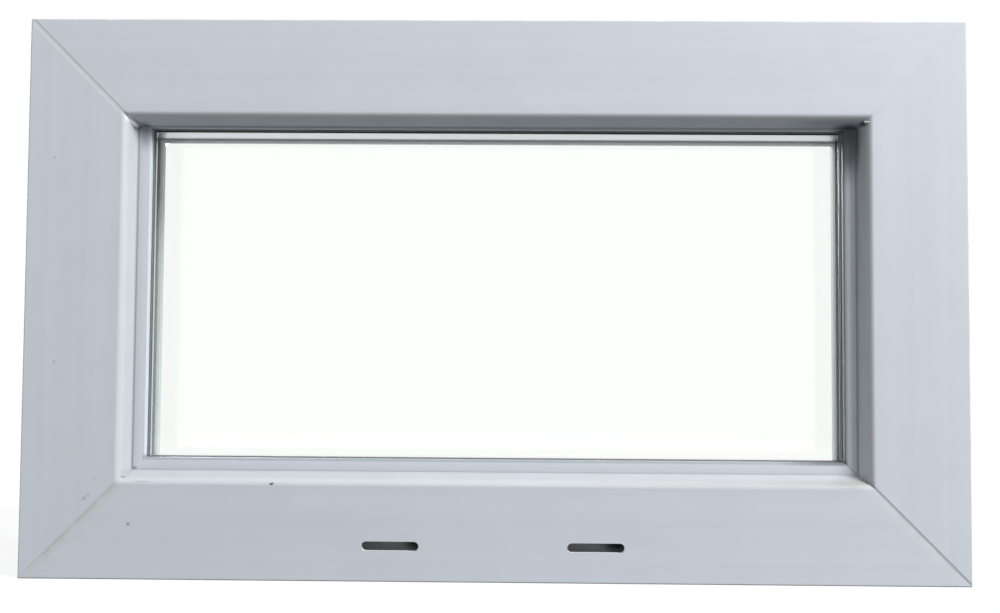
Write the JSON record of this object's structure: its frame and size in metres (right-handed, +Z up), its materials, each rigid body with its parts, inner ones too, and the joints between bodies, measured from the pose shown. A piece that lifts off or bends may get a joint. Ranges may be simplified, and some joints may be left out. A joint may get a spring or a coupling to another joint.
{
  "type": "fixed basement window",
  "caption": "Small fixed basement window: mitred white plastic frame with drain slots in the sill, insulating glass held by gaskets and room side beads.",
  "frame": {"origin": "middle of the sill's underside", "axes": "+X to the right along the width seen from the weather side, +Y from the weather side to the room side, +Z up"},
  "size_m": [0.5, 0.06, 0.298],
  "materials": {
    "pvc_frame": "satin white extruded PVC-U",
    "pvc_bead": "satin white extruded PVC-U",
    "epdm": "matt dark grey extruded rubber",
    "bead_gasket": "matt light grey extruded soft lip",
    "glass": "clear float glass",
    "spacer_aluminium": "mill finish strip",
    "edge_sealant": "matt trowelled",
    "block_plastic": "moulded"
  },
  "bodies": {
    "root": {"frame_sill": "pvc_frame", "frame_head": "pvc_frame", "frame_jamb_left": "pvc_frame", "frame_jamb_right": "pvc_frame", "bead_sill": "pvc_bead", "gasket_outer_sill": "epdm", "gasket_inner_sill": "bead_gasket", "spacer_sill": "spacer_aluminium", "bead_head": "pvc_bead", "gasket_outer_head": "epdm", "gasket_inner_head": "bead_gasket", "spacer_head": "spacer_aluminium", "bead_left": "pvc_bead", "gasket_outer_left": "epdm", "gasket_inner_left": "bead_gasket", "spacer_left": "spacer_aluminium", "bead_right": "pvc_bead", "gasket_outer_right": "epdm", "gasket_inner_right": "bead_gasket", "spacer_right": "spacer_aluminium", "pane_outer": "glass", "pane_inner": "glass", "edge_seal": "edge_sealant", "setting_block_left": "block_plastic", "setting_block_right": "block_plastic", "location_block_head_left": "block_plastic", "location_block_head_right": "block_plastic", "location_block_jamb_left": "block_plastic", "location_block_jamb_right": "block_plastic"}
  },
  "joints": []
}
